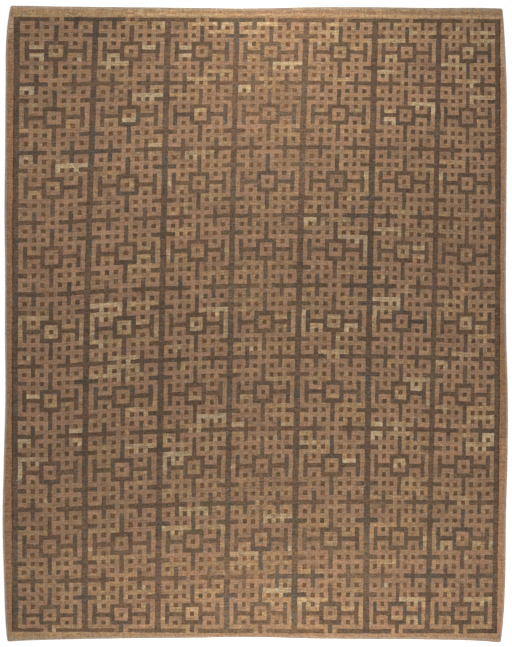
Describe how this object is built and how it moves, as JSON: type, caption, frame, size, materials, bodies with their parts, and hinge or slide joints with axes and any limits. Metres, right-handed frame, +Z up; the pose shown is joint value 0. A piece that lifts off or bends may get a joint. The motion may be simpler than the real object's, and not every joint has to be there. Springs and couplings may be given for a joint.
{
  "type": "flat-woven wool rug",
  "caption": "Large flat-woven wool rug: a lattice of square fretwork in brown on tan, plain narrow borders, hemmed ends, lying flat on the floor.",
  "frame": {"origin": "centre of the rug's outline box, on the floor plane that its underside rests on", "axes": "+Z up out of the rug's face, +Y along its length towards the end with the wider border, +X across its width"},
  "size_m": [2.4587, 3.1012, 0.004],
  "materials": {
    "wool": "hand-spun wool weft over cotton warp, matt, dark brown and grey-brown figures on tan"
  },
  "bodies": {
    "root": {"rug": "wool"}
  },
  "joints": []
}
